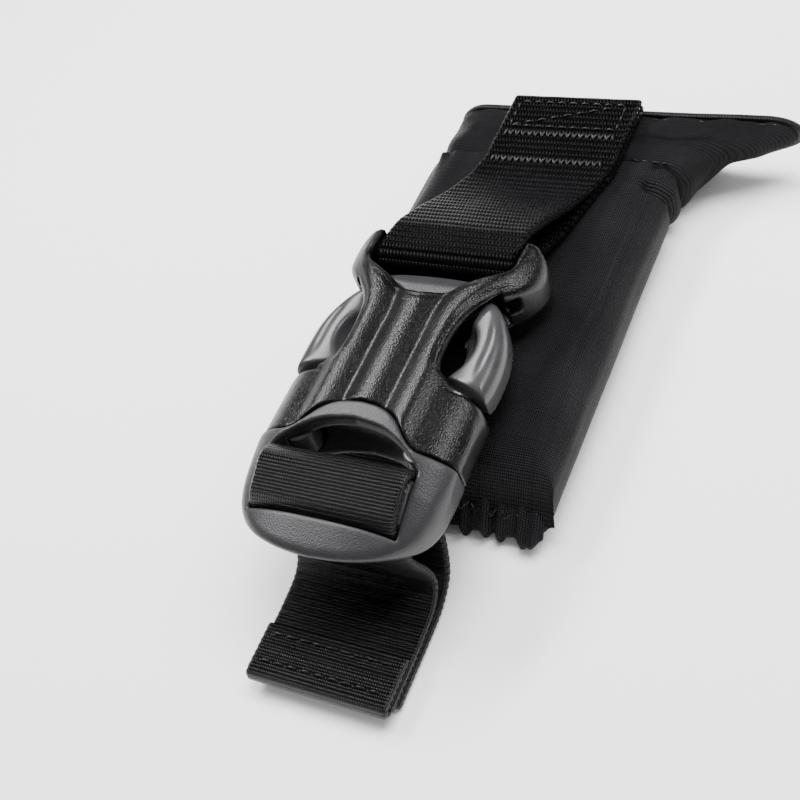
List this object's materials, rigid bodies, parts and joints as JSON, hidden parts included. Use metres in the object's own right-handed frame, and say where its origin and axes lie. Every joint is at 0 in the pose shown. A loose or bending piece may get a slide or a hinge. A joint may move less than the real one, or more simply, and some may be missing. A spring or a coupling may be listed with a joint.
{
  "type": "padded belt end with side-release buckle",
  "caption": "Padded belt end of a worn air pack, with a webbing-anchored side-release buckle and an adjuster strap.",
  "frame": {"origin": "on the flat back panel, on the buckle's centreline, straight below the bar that holds the buckle to the belt", "axes": "+Z away from the wearer, out of the buckle's crown; +X across the belt, to the side on which the wing flares; +Y along the belt, from the plug towards the wing"},
  "size_m": [0.0675, 0.1204, 0.026],
  "materials": {
    "receiver_plastic": "sandblast-textured moulded acetal, black",
    "plug_plastic": "fine satin moulded acetal, mid grey",
    "latch_plastic": "smooth glossy moulded acetal, mid grey",
    "webbing": "ribbed woven polyester webbing, black",
    "thread": "bonded nylon thread, black",
    "cover_cloth": "ripstop nylon, black with a soft sheen",
    "lining_cloth": "plain woven polyester lining, black",
    "binding_tape": "grosgrain binding tape, black",
    "foam": "closed-cell foam, dark grey"
  },
  "bodies": {
    "belt_end": {"anchor_webbing": "webbing", "anchor_bartack": "thread", "anchor_box_stitch": "thread", "sleeve_cover": "cover_cloth", "sleeve_foam": "foam", "sleeve_end_hem": "cover_cloth", "hem_stitch": "thread", "wing_cover": "cover_cloth", "wing_foam": "foam", "joining_stitch": "thread", "end_binding": "binding_tape", "binding_stitch": "thread", "back_panel": "lining_cloth"},
    "receiver": {"receiver_shell": "receiver_plastic"},
    "plug": {"plug_frame": "plug_plastic", "grip_bar": "plug_plastic", "guide_tongue": "plug_plastic", "adjuster_strap": "webbing", "strap_end_fold": "webbing", "strap_fold_stitch": "thread"},
    "latch_left": {"latch_arm_left": "latch_plastic"},
    "latch_right": {"latch_arm_right": "latch_plastic"}
  },
  "joints": [
    {"name": "receiver_tilt", "type": "hinge", "parent": "belt_end", "child": "receiver", "pos_m": [0, 0, 0.021], "axis": [-1, 0, 0], "range_deg": [0, 60]},
    {"name": "plug_slide", "type": "slide", "parent": "receiver", "child": "plug", "axis": [0, -1, 0], "range_m": [0, 0.036], "deforming": ["latch_arm_left", "latch_arm_right"]},
    {"name": "latch_left_squeeze", "type": "hinge", "parent": "plug", "child": "latch_left", "pos_m": [-0.011, -0.0375, 0.02], "axis": [0, 0, -1], "range_deg": [0, 10], "stiffness_Nm_per_rad": 0.3},
    {"name": "latch_right_squeeze", "type": "hinge", "parent": "plug", "child": "latch_right", "pos_m": [0.011, -0.0375, 0.02], "axis": [0, 0, 1], "range_deg": [0, 10], "stiffness_Nm_per_rad": 0.3}
  ]
}
